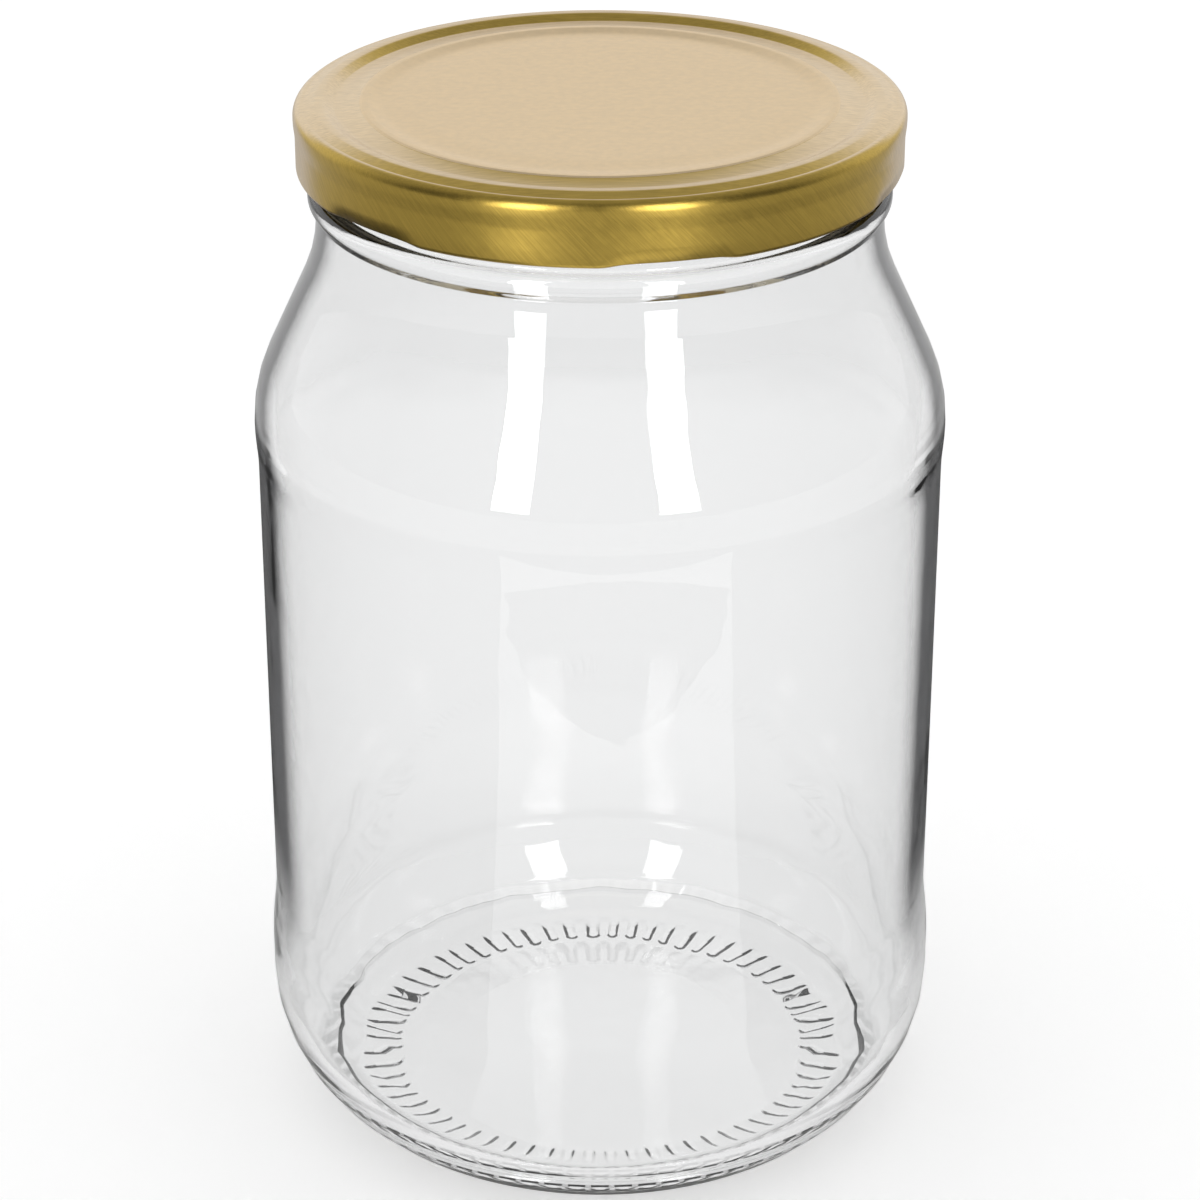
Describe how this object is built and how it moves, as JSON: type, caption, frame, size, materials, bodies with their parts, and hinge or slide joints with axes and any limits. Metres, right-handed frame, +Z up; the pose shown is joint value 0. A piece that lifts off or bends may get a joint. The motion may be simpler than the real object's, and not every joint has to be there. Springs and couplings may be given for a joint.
{
  "type": "preserving jar",
  "caption": "Round clear glass preserving jar, empty, with a rounded heel, sloping shoulder and a gold twist-off metal cap screwed on.",
  "frame": {"origin": "middle of the base on the plane of the bearing ring that the jar stands on", "axes": "+Z up along the jar's axis from the base to the cap; -Y towards the side that the picture shows; +X to the right as seen there"},
  "size_m": [0.1006, 0.1006, 0.1576],
  "materials": {
    "clear_glass": "clear soda-lime container glass, fire-polished outside, faintly wavy",
    "sealing_compound": "soft cream-white sealing compound, satin",
    "gold_tinplate": "gold-lacquered tinplate, satin, with a fine slanting rolling grain"
  },
  "bodies": {
    "root": {"jar_glass": "clear_glass", "lid_seal": "sealing_compound", "lid": "gold_tinplate"}
  },
  "joints": []
}
